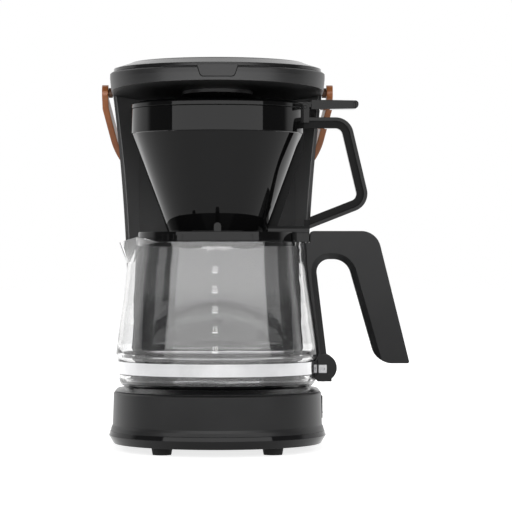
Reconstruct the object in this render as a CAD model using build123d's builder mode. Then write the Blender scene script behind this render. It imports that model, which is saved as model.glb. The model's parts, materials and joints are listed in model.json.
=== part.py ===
"""Drip coffee maker: oval base, bucket-shaped tower with a bail strap, dripper and glass carafe.

Millimetres. X to the right, Y to the back, Z up.
The worktop is Z = 0 and the carafe stands on the Z axis.
"""
import os
from math import acos, atan2, cos, radians, sin, sqrt, tan

from build123d import *

os.makedirs("parts", exist_ok=True)

# Plan: two half rounds, the front one on the carafe axis, joined by straight sides
STRAIGHT = 45.0
WALL = 2.6
FIT = 0.05              # radial clearance of pins, hoses and spigots
PLAY = 0.3              # gap beside pieces that move

# Heights
FOOT_H = 5.5
SKIRT_Z = 15.1          # seam between base plate and housing
DECK_Z = 46.0           # top of the base
PLATE_Z = 50.0          # hot plate, where the carafe stands
TANK_FLOOR_Z = 60.0
COLLAR_Z = 296.5        # top edge of the rim collar
LID_GAP = 0.5
LID_H = 7.4

# Base
BASE_BOTTOM_R = 82.0
SKIRT_R = 85.7
SKIRT_LOW_Z = 11.8
SKIRT_LEAN = 1.1        # the lip leans in towards the seam
BASE_R = 82.6
BASE_TOP_R = 81.8
DECK_EDGE = 1.2
BASE_INNER_R = 80.0
FLOOR_T = 2.5
FOOT_R = 8.2
FOOT_PEG_R = 3.0
FOOT_X = 42.6
FOOT_Y = 56.0           # foot from the middle of its half round
FEET = [(x, y) for y in (-FOOT_Y, STRAIGHT + FOOT_Y) for x in (-FOOT_X, FOOT_X)]
BOSS_R = 4.5
SCREW_R = 1.5
SCREW_HEAD_R = 3.2
SCREW_HEAD_H = 2.2
BASE_SCREWS = [(-66.0, -28.0), (66.0, -28.0), (-62.0, STRAIGHT + 35.0), (62.0, STRAIGHT + 35.0)]
TOWER_SCREWS = [(-52.0, STRAIGHT + 38.0), (52.0, STRAIGHT + 38.0)]
BOSS_SPLIT_Z = 12.0

# Hot plate and heater
HOT_PLATE_R = 74.0
HOT_PLATE_T = 1.5
DECK_HOLE_R = HOT_PLATE_R - 8.0
SPREADER_R = DECK_HOLE_R - 8.0
SPREADER_T = 4.5
HEATER_R = SPREADER_R - 11.0
HEATER_W = 22.0
HEATER_H = 11.0
HEATER_GAP_DEG = 80.0
FUSE_L = 14.0
STUB_X = 30.0
STUB_R = 4.0
BORE_R = 2.8
STUB_Z = 37.4
HOSE_T = 1.5
HOSE_START_Y = DECK_HOLE_R - 13.0
STUB_END_Y = HOSE_START_Y + 13.0
HOSE_Y = STRAIGHT + 51.0   # where the hoses turn up into the tower

# Tower
POCKET_R = 86.0         # concave front, round the carafe axis
TOWER_TOP_R = 83.9
TOWER_TOP_Z = COLLAR_Z - 12.5
TOWER_MID_R = 75.6
TOWER_MID_Z = COLLAR_Z - 106.5
TOWER_WAIST_R = 72.4
TOWER_WAIST_Z = 92.0
TOWER_FLARE_R = 75.6
PANEL_Y = STRAIGHT + 13.0   # the concave panel starts here, behind the wing tips

# Head
HEAD_TILT = 2.6         # degrees, underside of the head, higher at the front
HEAD_AXIS_Z = COLLAR_Z - 14.45   # underside on the carafe axis
COLLAR_R = 84.7
COLLAR_INNER_R = 79.0
BEAD_Z = COLLAR_Z - 7.9
DECK_T = 2.6
SPRAY_R = 28.0
SPRAY_H = 2.8
SPRAY_NECK_R = 9.0
RISER_TOP_Z = COLLAR_Z - 5.5
LID_TOP_R = 68.0
LID_R = 82.0
LID_T = 2.2
LID_LOW_Z = COLLAR_Z + LID_GAP
LID_TOP_Z = LID_LOW_Z + LID_H
TAB_HALF = 16.0         # finger tab at its top
TAB_LOW_HALF = 12.5
TAB_BACK_R = 81.0
TAB_LOW_Z = COLLAR_Z - 7.7
HINGE_Y = STRAIGHT + 68.0
KNUCKLE_R = 3.4
HINGE_Z = LID_TOP_Z - KNUCKLE_R - 0.4
KNUCKLE_HALF = 15.0
LUG_W = 5.7
LID_PIN_R = 1.5

# Bail strap
BAIL_Y = STRAIGHT
BAIL_Z = COLLAR_Z - 12.3
BAIL_HALF = 93.0
BAIL_LENGTH = 120.0
BAIL_END_L = 12.0       # straight length at each pivot
BAIL_BEND_R = 86.0
BAIL_T = 5.0
BAIL_W = 12.0
BAIL_REST = 45.0        # degrees below level, behind the tower
BAIL_EYE_R = 6.3
PIVOT_R = 2.5
PIVOT_BOSS_R = 4.0
PIVOT_HEAD_R = 4.2
PIVOT_HEAD_T = 1.2

# Switch and cord gland
SWITCH_Y = 22.5
SWITCH_Z = 32.5
SWITCH_W = 21.0
SWITCH_H = 15.0
SWITCH_DEPTH = 17.0
BEZEL_T = 1.0
ROCKER_TILT = 8.0
ROCKER_W = 16.4
ROCKER_H = 11.4
ROCKER_PIVOT_X = 77.5
ROCKER_PIN_R = 1.5
GLAND_R = 6.0
GLAND_BORE_R = 3.6
GLAND_Z = 28.0
BLOCK_X = 36.0          # terminal block
BLOCK_Y = STRAIGHT + 29.0
BLOCK_TOP_Z = FOOT_H + FLOOR_T + 13.0
LEAD_R = 1.4

# Carafe
GLASS_T = 2.6
GLASS_RIM_Z = 163.4
SPOUT_Z = 167.5         # crest of the rim beside the spout
GLASS_NECK_Z = 147.0
GLASS_NECK_R = 70.9
GLASS_RIM_R = 69.8
GLASS_MAX_R = 79.9
SHOULDER_Z = 75.5       # where the wide shoulder above the band turns up
GLASS_FOOT_R = 71.5
BAND_SEAT_R = 77.9
BAND_R = BAND_SEAT_R + 1.5
BAND_LOW_Z = 60.4
BAND_HIGH_Z = 70.1
SPOUT_R = 8.0
SPOUT_REACH = 79.0
EAR_Y = 3.0
EAR_T = 1.5
EAR_X = 88.0
BAND_SCREW_X = 82.8
BAND_SCREW_Z = 63.7
NUT_HALF = 3.2
GRIP_HALF = 10.0        # half width of the carafe handle
GRIP_TOP_Z = 172.2
GRIP_LOW_Z = 68.0
GRIP_BACK_X = 73.0
GRIP_TOP_X = 125.3
GRIP_END_X = 151.3
GRIP_HEEL_X = 125.4
ARCH_Z = 150.0
ARCH_X = (76.9, 102.1)
STRAP_LOW_X = 86.9
INSIDE_X = 58.0         # a point well inside the glass
LUG_R = 10.9
LUG_LOW_Z = 53.8

# Dripper
DRIPPER_T = 2.2
DRIPPER_TOP_Z = 268.0
DRIPPER_BAND_Z = 249.0
DRIPPER_R = 68.0
DRIPPER_FOOT_R = 39.5
FLANGE_R = 62.5
FLANGE_TOP_Z = 171.3
FLANGE_LOW_Z = FLANGE_TOP_Z - 3.0
FLANGE_WALL_Z = 164.2
ARM_TOP_Z = 176.1
PLUG_R = 62.0
PLUG_LOW_Z = 160.3
TAB_R = GLASS_RIM_R - 0.2
ARM_X = 72.4
LOOP_W = 8.6
LOOP_RIM_W = 2.8
LOOP_HALF = 7.0
LOOP_WEB_HALF = 4.5
LOOP_PATH = [(DRIPPER_R - 8.0, 257.5), (DRIPPER_R + 33.0, 257.5), (DRIPPER_R + 47.6, 195.5), (66.0, 176.0)]
LOOP_BEND_R = 10.0
LEVER_X = DRIPPER_R + 43.2
LEVER_TOP_Z = 275.7
CAP_Z = 268.5           # lower edge of the dripper lid
CAP_TOP_Z = 273.5
CAP_R = DRIPPER_R + PLAY
CAP_HOLE_R = 32.0
CAP_HINGE_X = DRIPPER_R + 1.0
CAP_HINGE_Z = 269.8
CAP_KNUCKLE_R = 3.4
CAP_PIN_R = 1.3

REACH = 400.0           # longer than anything it cuts
FRONT = Plane.XZ        # seen from the front: local x right, local y up


def upright(y):
    """Upright plane facing the front at depth y."""
    return Plane(origin=(0, y, 0), x_dir=(1, 0, 0), z_dir=(0, -1, 0))


def sideways(x):
    """Upright plane facing right at x: local x to the back, local y up."""
    return Plane(origin=(x, 0, 0), x_dir=(0, 1, 0), z_dir=(1, 0, 0))


def level(z):
    return Plane.XY.offset(z)


def oval_solid(draw, front=True):
    """Solid whose upright half section, drawn as (radius, height), is carried round the oval plan."""
    with BuildPart() as body:
        if front:
            with BuildSketch(FRONT):
                with BuildLine():
                    draw()
                make_face()
            revolve(axis=Axis.Z, revolution_arc=-180)
        with BuildSketch(FRONT):
            with BuildLine():
                draw()
            make_face()
            mirror(about=Plane.YZ)
        extrude(amount=-STRAIGHT)
        with BuildSketch(upright(STRAIGHT)):
            with BuildLine():
                draw()
            make_face()
        revolve(axis=Axis((0, STRAIGHT, 0), (0, 0, 1)), revolution_arc=180)
    return body.part


def oval_prism(radius, low, high):
    with BuildPart() as body:
        with BuildSketch(level(low)):
            with Locations((0, STRAIGHT / 2)):
                SlotCenterToCenter(STRAIGHT, 2 * radius, rotation=90)
        extrude(amount=high - low)
    return body.part


def post(x, y, radius, low, high):
    """Upright round bar."""
    with BuildPart() as body:
        with BuildSketch(level(low)):
            with Locations((x, y)):
                Circle(radius)
        extrude(amount=high - low)
    return body.part


def bar_x(y, z, radius, left, right):
    """Round bar along X."""
    with BuildPart() as body:
        with BuildSketch(sideways(left)):
            with Locations((y, z)):
                Circle(radius)
        extrude(amount=right - left)
    return body.part


def bar_y(x, z, radius, near, far):
    """Round bar along Y."""
    with BuildPart() as body:
        with BuildSketch(upright(near)):
            with Locations((x, z)):
                Circle(radius)
        extrude(amount=near - far)
    return body.part


def block(x0, x1, y0, y1, z0, z1):
    with BuildPart() as body:
        with BuildSketch(level(z0)):
            with Locations(((x0 + x1) / 2, (y0 + y1) / 2)):
                Rectangle(x1 - x0, y1 - y0)
        extrude(amount=z1 - z0)
    return body.part


def turned(draw):
    """Solid of revolution about the carafe axis."""
    with BuildPart() as body:
        with BuildSketch(FRONT):
            with BuildLine():
                draw()
            make_face()
        revolve(axis=Axis.Z)
    return body.part


def tube(points, bend, outer, inner, start):
    """Round pipe along a bent line; start is the plane across its first end."""
    with BuildPart() as body:
        with BuildLine() as way:
            FilletPolyline(*points, radius=bend)
        with BuildSketch(start):
            Circle(outer)
            if inner:
                Circle(inner, mode=Mode.SUBTRACT)
        sweep(path=way.wires()[0])
    return body.part


def near(sketch, x, y):
    """Corner of a sketch closest to a point of its plane."""
    return sketch.vertices().sort_by_distance((x, y, 0))[0]


def write(builder, label):
    builder.part.label = label
    export_step(builder.part, f"parts/{label}.step")


def below_head():
    """Everything under the sloping underside of the head."""
    drop = tan(radians(HEAD_TILT))
    with BuildPart() as body:
        with BuildSketch(sideways(-REACH / 2)):
            with BuildLine():
                Polyline(
                    (-REACH, HEAD_AXIS_Z + REACH * drop),
                    (REACH, HEAD_AXIS_Z - REACH * drop),
                    (REACH, -REACH),
                    (-REACH, -REACH),
                    close=True,
                )
            make_face()
        extrude(amount=REACH)
    return body.part


# Base plate: shallow tray with a swelling lip
def plate_section():
    Polyline(
        (0, FOOT_H),
        (BASE_BOTTOM_R, FOOT_H),
        (SKIRT_R, SKIRT_LOW_Z),
        (SKIRT_R - SKIRT_LEAN, SKIRT_Z),
        (0, SKIRT_Z),
        close=True,
    )


with BuildPart() as base_plate:
    add(oval_solid(plate_section))
    add(oval_prism(BASE_INNER_R, FOOT_H + FLOOR_T, SKIRT_Z + 1), mode=Mode.SUBTRACT)
    for spot in BASE_SCREWS:
        add(post(*spot, BOSS_R + 1.5, FOOT_H + FLOOR_T - 0.5, BOSS_SPLIT_Z))
        add(post(*spot, SCREW_HEAD_R + PLAY, FOOT_H - 1, BOSS_SPLIT_Z - FLOOR_T), mode=Mode.SUBTRACT)
        add(post(*spot, SCREW_R + 0.2, FOOT_H, BOSS_SPLIT_Z + 1), mode=Mode.SUBTRACT)
    for spot in FEET:
        add(post(*spot, FOOT_PEG_R + FIT, FOOT_H - 1, FOOT_H + FLOOR_T + 1), mode=Mode.SUBTRACT)
    # vent slots under the heater
    with BuildSketch(level(FOOT_H)):
        with GridLocations(9, 0, 7, 1):
            SlotOverall(34, 3.2, rotation=90)
    extrude(amount=FLOOR_T, mode=Mode.SUBTRACT)
write(base_plate, "base_plate")

with BuildPart() as base_feet:
    for spot in FEET:
        with BuildSketch(level(0)):
            with Locations(spot):
                Circle(FOOT_R - 1.0)
        extrude(amount=FOOT_H, taper=-10)
        add(post(*spot, FOOT_PEG_R, FOOT_H - 0.5, FOOT_H + FLOOR_T + 1.5))
write(base_feet, "base_feet")

with BuildPart() as base_screws:
    head_top = BOSS_SPLIT_Z - FLOOR_T
    for spot in BASE_SCREWS:
        add(post(*spot, SCREW_HEAD_R, head_top - SCREW_HEAD_H, head_top))
        add(post(*spot, SCREW_R, head_top - 0.5, BOSS_SPLIT_Z + 16))
        with BuildSketch(level(head_top - SCREW_HEAD_H)):
            with Locations(spot):
                Rectangle(3.6, 0.9)
                Rectangle(0.9, 3.6)
        extrude(amount=1.2, mode=Mode.SUBTRACT)
write(base_screws, "base_screws")


# Base housing: the oval body with the deck on top
def housing_section():
    Polyline(
        (0, SKIRT_Z),
        (SKIRT_R - SKIRT_LEAN - 0.4, SKIRT_Z),
        (SKIRT_R - SKIRT_LEAN - 1.0, SKIRT_Z + 2.9),
        (BASE_R, SKIRT_Z + 4.9),
        (BASE_TOP_R, DECK_Z - DECK_EDGE),
        (BASE_TOP_R - DECK_EDGE, DECK_Z),
        (0, DECK_Z),
        close=True,
    )


back_y = STRAIGHT + BASE_TOP_R
with BuildPart() as base_housing:
    add(oval_solid(housing_section))
    add(oval_prism(BASE_INNER_R, SKIRT_Z - 1, DECK_Z - WALL), mode=Mode.SUBTRACT)
    for spot in BASE_SCREWS:
        add(post(*spot, BOSS_R, BOSS_SPLIT_Z, DECK_Z - WALL + 0.5))
        add(post(*spot, SCREW_R + FIT, BOSS_SPLIT_Z - 1, BOSS_SPLIT_Z + 18), mode=Mode.SUBTRACT)
    add(post(0, 0, DECK_HOLE_R, DECK_Z - WALL - 1, DECK_Z + 1), mode=Mode.SUBTRACT)
    for side in (-1, 1):
        hose_hole_r = STUB_R + HOSE_T + 2.5
        add(post(side * STUB_X, HOSE_Y, hose_hole_r, DECK_Z - WALL - 1, DECK_Z + 1), mode=Mode.SUBTRACT)
    for spot in TOWER_SCREWS:
        add(post(*spot, SCREW_R + 0.2, DECK_Z - WALL - 1, DECK_Z + 1), mode=Mode.SUBTRACT)
    switch_low = SWITCH_Z - SWITCH_H / 2
    add(
        block(BASE_INNER_R - 2, SKIRT_R, SWITCH_Y - SWITCH_W / 2 - FIT, SWITCH_Y + SWITCH_W / 2 + FIT,
              switch_low - FIT, switch_low + SWITCH_H + FIT),
        mode=Mode.SUBTRACT,
    )
    add(bar_y(0, GLAND_Z, GLAND_R + FIT, back_y - 8, back_y + 8), mode=Mode.SUBTRACT)
write(base_housing, "base_housing")


# Hot plate: shallow pan turned over on its seal, with a sloping rim to the edge of the base
def hot_plate_section():
    Polyline(
        (0, PLATE_Z - HOT_PLATE_T),
        (HOT_PLATE_R - HOT_PLATE_T, PLATE_Z - HOT_PLATE_T),
        (HOT_PLATE_R - HOT_PLATE_T, DECK_Z + PLAY),
        (BASE_TOP_R - DECK_EDGE, DECK_Z + PLAY),
        (BASE_TOP_R - DECK_EDGE, DECK_Z + PLAY + 0.5),
        (HOT_PLATE_R, PLATE_Z - 0.3),
        (HOT_PLATE_R - 0.5, PLATE_Z),
        (0, PLATE_Z),
        close=True,
    )


with BuildPart() as hot_plate:
    add(turned(hot_plate_section))
write(hot_plate, "hot_plate")

with BuildPart() as plate_seal:
    with BuildSketch(level(DECK_Z)):
        Circle(HOT_PLATE_R - HOT_PLATE_T - 0.2)
        Circle(DECK_HOLE_R + 0.5, mode=Mode.SUBTRACT)
    extrude(amount=PLATE_Z - HOT_PLATE_T - DECK_Z)
write(plate_seal, "plate_seal")

spreader_low = PLATE_Z - HOT_PLATE_T - SPREADER_T
with BuildPart() as heat_spreader:
    add(post(0, 0, SPREADER_R, spreader_low, PLATE_Z - HOT_PLATE_T))
    add(post(0, -20, SCREW_R + 0.5 + FIT, spreader_low - 1, spreader_low + 3.5), mode=Mode.SUBTRACT)
write(heat_spreader, "heat_spreader")

# Horseshoe casting: heating rod and water pipe side by side, open at the back
with BuildPart() as heater_tube:
    with BuildSketch(FRONT.rotated((0, 0, 90 + HEATER_GAP_DEG / 2))):
        with Locations((HEATER_R, spreader_low - HEATER_H / 2)):
            RectangleRounded(HEATER_W, HEATER_H, 4.5)
    revolve(axis=Axis.Z, revolution_arc=360 - HEATER_GAP_DEG)
    for side in (-1, 1):
        add(bar_y(side * STUB_X, STUB_Z, STUB_R, 28, STUB_END_Y))
    for side in (-1, 1):
        add(bar_y(side * STUB_X, STUB_Z, BORE_R, 40, STUB_END_Y + 1), mode=Mode.SUBTRACT)
write(heater_tube, "heater_tube")

clamp_low = spreader_low - HEATER_H - 1.6
with BuildPart() as heater_clamp:
    add(block(-52, 52, -27, -13, clamp_low, spreader_low - HEATER_H))
    add(post(0, -20, SCREW_R + 0.5 + FIT, clamp_low - 1, spreader_low), mode=Mode.SUBTRACT)
write(heater_clamp, "heater_clamp")

with BuildPart() as clamp_bolt:
    with BuildSketch(level(clamp_low - 3)):
        with Locations((0, -20)):
            RegularPolygon(4, 6)
    extrude(amount=3)
    add(post(0, -20, SCREW_R + 0.5, clamp_low - 0.5, spreader_low + 3))
write(clamp_bolt, "clamp_bolt")

with BuildPart() as thermostat:
    add(post(0, 10, 9, spreader_low - 6, spreader_low))
    for side in (-1, 1):
        add(block(side * 6 - 0.4, side * 6 + 0.4, 7, 13, spreader_low - 12, spreader_low - 5))
write(thermostat, "thermostat")

with BuildPart() as thermal_fuses:
    fuse_end = HEATER_R - HEATER_W / 2 - 10.0
    for y in (-2.0, -8.0):
        add(bar_x(y, spreader_low - 2.3, 2.3, -fuse_end, FUSE_L - fuse_end))
write(thermal_fuses, "thermal_fuses")

# Terminal block and the leads between it, the switch and the heater
with BuildPart() as terminal_block:
    add(block(BLOCK_X - 13, BLOCK_X + 13, BLOCK_Y - 7, BLOCK_Y + 7, FOOT_H + FLOOR_T, BLOCK_TOP_Z))
    for x in (-8, 0, 8):
        add(post(BLOCK_X + x, BLOCK_Y, 2.2, BLOCK_TOP_Z - 8, BLOCK_TOP_Z + 1), mode=Mode.SUBTRACT)
        add(bar_y(BLOCK_X + x, BLOCK_TOP_Z - 6, 1.7, BLOCK_Y - 8, BLOCK_Y + 8), mode=Mode.SUBTRACT)
write(terminal_block, "terminal_block")

lead_z = BLOCK_TOP_Z - 6
switch_back_x = BASE_INNER_R - SWITCH_DEPTH
with BuildPart() as lead_wires:
    # mains side of the switch
    start = Plane(origin=(BLOCK_X + 8, BLOCK_Y - 4, lead_z), x_dir=(1, 0, 0), z_dir=(0, -1, 0))
    add(tube([(BLOCK_X + 8, BLOCK_Y - 4, lead_z), (BLOCK_X + 8, SWITCH_Y + 4, lead_z),
              (BLOCK_X + 8, SWITCH_Y + 4, SWITCH_Z - 3), (switch_back_x, SWITCH_Y + 4, SWITCH_Z - 3)],
             5, LEAD_R, 0, start))
    # thermostat to terminal block
    start = Plane(origin=(BLOCK_X - 8, BLOCK_Y - 4, lead_z), x_dir=(1, 0, 0), z_dir=(0, -1, 0))
    add(tube([(BLOCK_X - 8, BLOCK_Y - 4, lead_z), (BLOCK_X - 8, 10, lead_z), (7, 10, lead_z),
              (7, 10, spreader_low - 11.5)], 5, LEAD_R, 0, start))
    add(block(5.6, 6.4, 7, 13, spreader_low - 12, spreader_low - 5), mode=Mode.SUBTRACT)
write(lead_wires, "lead_wires")

with BuildPart() as cord_gland:
    add(bar_y(0, GLAND_Z, GLAND_R, back_y - 5.5, back_y + 1.5))
    add(bar_y(0, GLAND_Z, GLAND_R + 2.5, back_y + 1.2, back_y + 3.4))
    add(bar_y(0, GLAND_Z, GLAND_R + 1.5, back_y - 6.5, back_y - 4.2))
    add(bar_y(0, GLAND_Z, GLAND_BORE_R, back_y - 12, back_y + 12), mode=Mode.SUBTRACT)
write(cord_gland, "cord_gland")

# Rocker switch in the right side of the base
bezel_x = BASE_R - 0.1
rocker_pin_half = ROCKER_W / 2 + 1.4
with BuildPart() as switch_housing:
    add(block(switch_back_x, bezel_x + 0.5, SWITCH_Y - SWITCH_W / 2, SWITCH_Y + SWITCH_W / 2,
              SWITCH_Z - SWITCH_H / 2, SWITCH_Z + SWITCH_H / 2))
    add(block(bezel_x, bezel_x + BEZEL_T, SWITCH_Y - SWITCH_W / 2 - 1.2, SWITCH_Y + SWITCH_W / 2 + 1.2,
              SWITCH_Z - SWITCH_H / 2 - 1.2, SWITCH_Z + SWITCH_H / 2 + 1.2))
    well_half = ROCKER_W / 2 + PLAY
    add(block(ROCKER_PIVOT_X - 5.5, bezel_x + 9, SWITCH_Y - well_half, SWITCH_Y + well_half,
              SWITCH_Z - ROCKER_H / 2 - 1.1, SWITCH_Z + ROCKER_H / 2 + 1.1), mode=Mode.SUBTRACT)
    pin_seat = rocker_pin_half + 0.2
    add(bar_y(ROCKER_PIVOT_X, SWITCH_Z, ROCKER_PIN_R + FIT, SWITCH_Y - pin_seat, SWITCH_Y + pin_seat),
        mode=Mode.SUBTRACT)
write(switch_housing, "switch_housing")

tilt = radians(ROCKER_TILT)
rocker_plane = Plane(
    origin=(ROCKER_PIVOT_X, SWITCH_Y - ROCKER_W / 2, SWITCH_Z),
    x_dir=(cos(tilt), 0, sin(tilt)),
    z_dir=(0, -1, 0),
)
rocker_face = bezel_x + BEZEL_T - ROCKER_PIVOT_X
with BuildPart() as power_rocker:
    with BuildSketch(rocker_plane):
        with BuildLine():
            Polyline(
                (-1.8, -ROCKER_H / 2 + 2.2),
                (rocker_face - 0.2, -ROCKER_H / 2),
                (rocker_face - 1.1, 0),
                (rocker_face - 0.2, ROCKER_H / 2),
                (-1.8, ROCKER_H / 2 - 2.2),
                close=True,
            )
        make_face()
    extrude(amount=-ROCKER_W)
    add(bar_y(ROCKER_PIVOT_X, SWITCH_Z, ROCKER_PIN_R,
              SWITCH_Y - rocker_pin_half, SWITCH_Y + rocker_pin_half))
write(power_rocker, "power_rocker")


# Tower: bucket-like skin behind the carafe, cut away along a cylinder round the carafe axis
def tower_section(inset, low):
    top = HEAD_AXIS_Z + 6
    arc = ThreePointArc(
        (TOWER_TOP_R - inset, TOWER_TOP_Z),
        (TOWER_MID_R - inset, TOWER_MID_Z),
        (TOWER_WAIST_R - inset, TOWER_WAIST_Z),
    )
    flare = ThreePointArc(
        arc @ 1,
        ((TOWER_WAIST_R + TOWER_FLARE_R) / 2 - inset - 0.8, (TOWER_WAIST_Z + DECK_Z) / 2),
        (TOWER_FLARE_R - inset, DECK_Z),
    )
    if low < DECK_Z:
        foot = Line(flare @ 1, (TOWER_FLARE_R - inset, low))
        Line(foot @ 1, (0, low))
    else:
        Line(flare @ 1, (0, DECK_Z))
        low = DECK_Z
    Line((0, low), (0, top))
    Line((0, top), (TOWER_TOP_R - inset, top))
    Line((TOWER_TOP_R - inset, top), arc @ 0)


def tower_solid(inset, low=DECK_Z):
    return oval_solid(lambda: tower_section(inset, low), front=False)


def tip_trim():
    """Region in front of the wing tips, which end in narrow upright edges."""
    with BuildPart() as body:
        with BuildSketch(sideways(-REACH / 2)):
            with BuildLine():
                edge = Spline((26.0, HEAD_AXIS_Z + 8), (45.0, COLLAR_Z - 92.5), (49.5, 130.0), (49.5, DECK_Z - 1))
                Polyline(edge @ 1, (-REACH, DECK_Z - 1), (-REACH, HEAD_AXIS_Z + 8), edge @ 0)
            make_face()
        extrude(amount=REACH)
    return body.part


tower_z = (DECK_Z - 1, HEAD_AXIS_Z + 20)


def tank_room():
    with BuildPart() as body:
        add(tower_solid(WALL, DECK_Z - 1))
        add(post(0, 0, POCKET_R + WALL, *tower_z), mode=Mode.SUBTRACT)
    return body.part


def pocket_panel(gap):
    """Concave sheet between the tank and the carafe, as far as its side edges."""
    with BuildPart() as body:
        with BuildSketch(level(tower_z[0])):
            Circle(POCKET_R + WALL + gap)
            Circle(POCKET_R - gap, mode=Mode.SUBTRACT)
            with Locations((0, PANEL_Y - gap + REACH / 2)):
                Rectangle(REACH, REACH, mode=Mode.INTERSECT)
        extrude(amount=tower_z[1] - tower_z[0])
    return body.part


with BuildPart() as tower_shell:
    add(tower_solid(0))
    add(post(0, 0, POCKET_R, *tower_z), mode=Mode.SUBTRACT)
    add(tip_trim(), mode=Mode.SUBTRACT)
    add(tank_room(), mode=Mode.SUBTRACT)
    add(pocket_panel(FIT), mode=Mode.SUBTRACT)
    add(below_head(), mode=Mode.INTERSECT)
write(tower_shell, "tower_shell")

with BuildPart() as tower_front:
    add(tower_solid(0))
    add(pocket_panel(0), mode=Mode.INTERSECT)
    add(below_head(), mode=Mode.INTERSECT)
write(tower_front, "tower_front")

with BuildPart() as tank_floor:
    add(tower_solid(WALL + FIT, DECK_Z - 1))
    add(post(0, 0, POCKET_R + WALL + FIT, *tower_z), mode=Mode.SUBTRACT)
    add(block(-REACH, REACH, -REACH, REACH, TANK_FLOOR_Z, TANK_FLOOR_Z + WALL), mode=Mode.INTERSECT)
    for spot in TOWER_SCREWS:
        add(post(*spot, 4.0, DECK_Z, TANK_FLOOR_Z + 0.5))
        add(post(*spot, SCREW_R + FIT, DECK_Z - 1, TANK_FLOOR_Z - 2), mode=Mode.SUBTRACT)
    add(post(-STUB_X, HOSE_Y, 4.9 + FIT, TANK_FLOOR_Z - 1, TANK_FLOOR_Z + 5), mode=Mode.SUBTRACT)
    add(post(STUB_X, HOSE_Y, STUB_R + FIT, TANK_FLOOR_Z - 1, TANK_FLOOR_Z + 5), mode=Mode.SUBTRACT)
write(tank_floor, "tank_floor")

with BuildPart() as tower_screws:
    for spot in TOWER_SCREWS:
        add(post(*spot, SCREW_R, DECK_Z - WALL - 0.5, TANK_FLOOR_Z - 3))
        add(post(*spot, SCREW_HEAD_R, DECK_Z - WALL - SCREW_HEAD_H, DECK_Z - WALL))
write(tower_screws, "tower_screws")

# Water way: strainer and one-way valve under the tank, two hoses, riser to the head
floor_top = TANK_FLOOR_Z + WALL
with BuildPart() as tank_strainer:
    add(post(-STUB_X, HOSE_Y, 8, floor_top, floor_top + 9))
    add(post(-STUB_X, HOSE_Y, 6.6, floor_top - 1, floor_top + 7.6), mode=Mode.SUBTRACT)
    with BuildSketch(level(floor_top + 1.5)):
        with Locations((-STUB_X, HOSE_Y)):
            with PolarLocations(7.3, 12):
                Rectangle(4, 1.4)
    extrude(amount=5, mode=Mode.SUBTRACT)
write(tank_strainer, "tank_strainer")

with BuildPart() as check_valve:
    add(post(-STUB_X, HOSE_Y, 6.5, TANK_FLOOR_Z - 7.5, TANK_FLOOR_Z))
    add(post(-STUB_X, HOSE_Y, 4.9, TANK_FLOOR_Z - 0.5, floor_top + 1.2))
    add(post(-STUB_X, HOSE_Y, STUB_R, TANK_FLOOR_Z - 17, TANK_FLOOR_Z - 7))
    add(post(-STUB_X, HOSE_Y, BORE_R, TANK_FLOOR_Z - 18, floor_top + 2), mode=Mode.SUBTRACT)
write(check_valve, "check_valve")

hose_end_z = TANK_FLOOR_Z - 7.7


def hose(side):
    start = Plane(origin=(side * STUB_X, HOSE_START_Y, STUB_Z), x_dir=(1, 0, 0), z_dir=(0, 1, 0))
    way = [
        (side * STUB_X, HOSE_START_Y, STUB_Z),
        (side * STUB_X, HOSE_Y, STUB_Z),
        (side * STUB_X, HOSE_Y, hose_end_z),
    ]
    return tube(way, 6.5, STUB_R + HOSE_T, STUB_R + FIT, start)


with BuildPart() as cold_hose:
    add(hose(-1))
write(cold_hose, "cold_hose")

with BuildPart() as hot_hose:
    add(hose(1))
write(hot_hose, "hot_hose")

clip_y = HOSE_START_Y + 0.5
with BuildPart() as hose_clips:
    for side in (-1, 1):
        clip_r = STUB_R + HOSE_T + FIT
        add(bar_y(side * STUB_X, STUB_Z, clip_r + 0.85, clip_y, clip_y + 4))
        add(bar_y(side * STUB_X, STUB_Z, clip_r, clip_y - 1, clip_y + 5), mode=Mode.SUBTRACT)
write(hose_clips, "hose_clips")

riser_way = [
    (STUB_X, HOSE_Y, TANK_FLOOR_Z - 16),
    (STUB_X, HOSE_Y, RISER_TOP_Z),
    (0, 0, RISER_TOP_Z),
    (0, 0, HEAD_AXIS_Z - 1.5),
]
with BuildPart() as riser_tube:
    add(tube(riser_way, 7, STUB_R, BORE_R, level(TANK_FLOOR_Z - 16).shift_origin(
        Vector(STUB_X, HOSE_Y, TANK_FLOOR_Z - 16))))
write(riser_tube, "riser_tube")


# Head: rim collar, sloping brew deck, spray head
def collar_section():
    Polyline(
        (TOWER_TOP_R - 1.4, HEAD_AXIS_Z - 10),
        (TOWER_TOP_R, TOWER_TOP_Z),
        (TOWER_TOP_R + 0.5, BEAD_Z),
        (COLLAR_R, BEAD_Z + 3.5),
        (COLLAR_R, COLLAR_Z - 1.0),
        (COLLAR_R - 1.0, COLLAR_Z),
        (COLLAR_INNER_R, COLLAR_Z),
        (COLLAR_INNER_R, HEAD_AXIS_Z - 10),
        close=True,
    )


def front_tab(inner, outer, low, high, gap):
    """Piece of a ring at the front of the rim, narrower and rounded below, grown by a gap."""
    foot = TAB_LOW_Z - gap
    with BuildPart() as body:
        with BuildSketch(level(low)):
            Circle(outer)
            Circle(inner, mode=Mode.SUBTRACT)
        extrude(amount=high - low)
        with BuildSketch(upright(0)) as face:
            with BuildLine():
                Polyline(
                    (-TAB_LOW_HALF - gap, foot),
                    (TAB_LOW_HALF + gap, foot),
                    (TAB_HALF + gap, LID_LOW_Z + 2),
                    (-TAB_HALF - gap, LID_LOW_Z + 2),
                    close=True,
                )
            make_face()
            for side in (-1, 1):
                fillet(near(face, side * (TAB_LOW_HALF + gap), foot), 3)
        extrude(amount=REACH, mode=Mode.INTERSECT)
    return body.part


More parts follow.
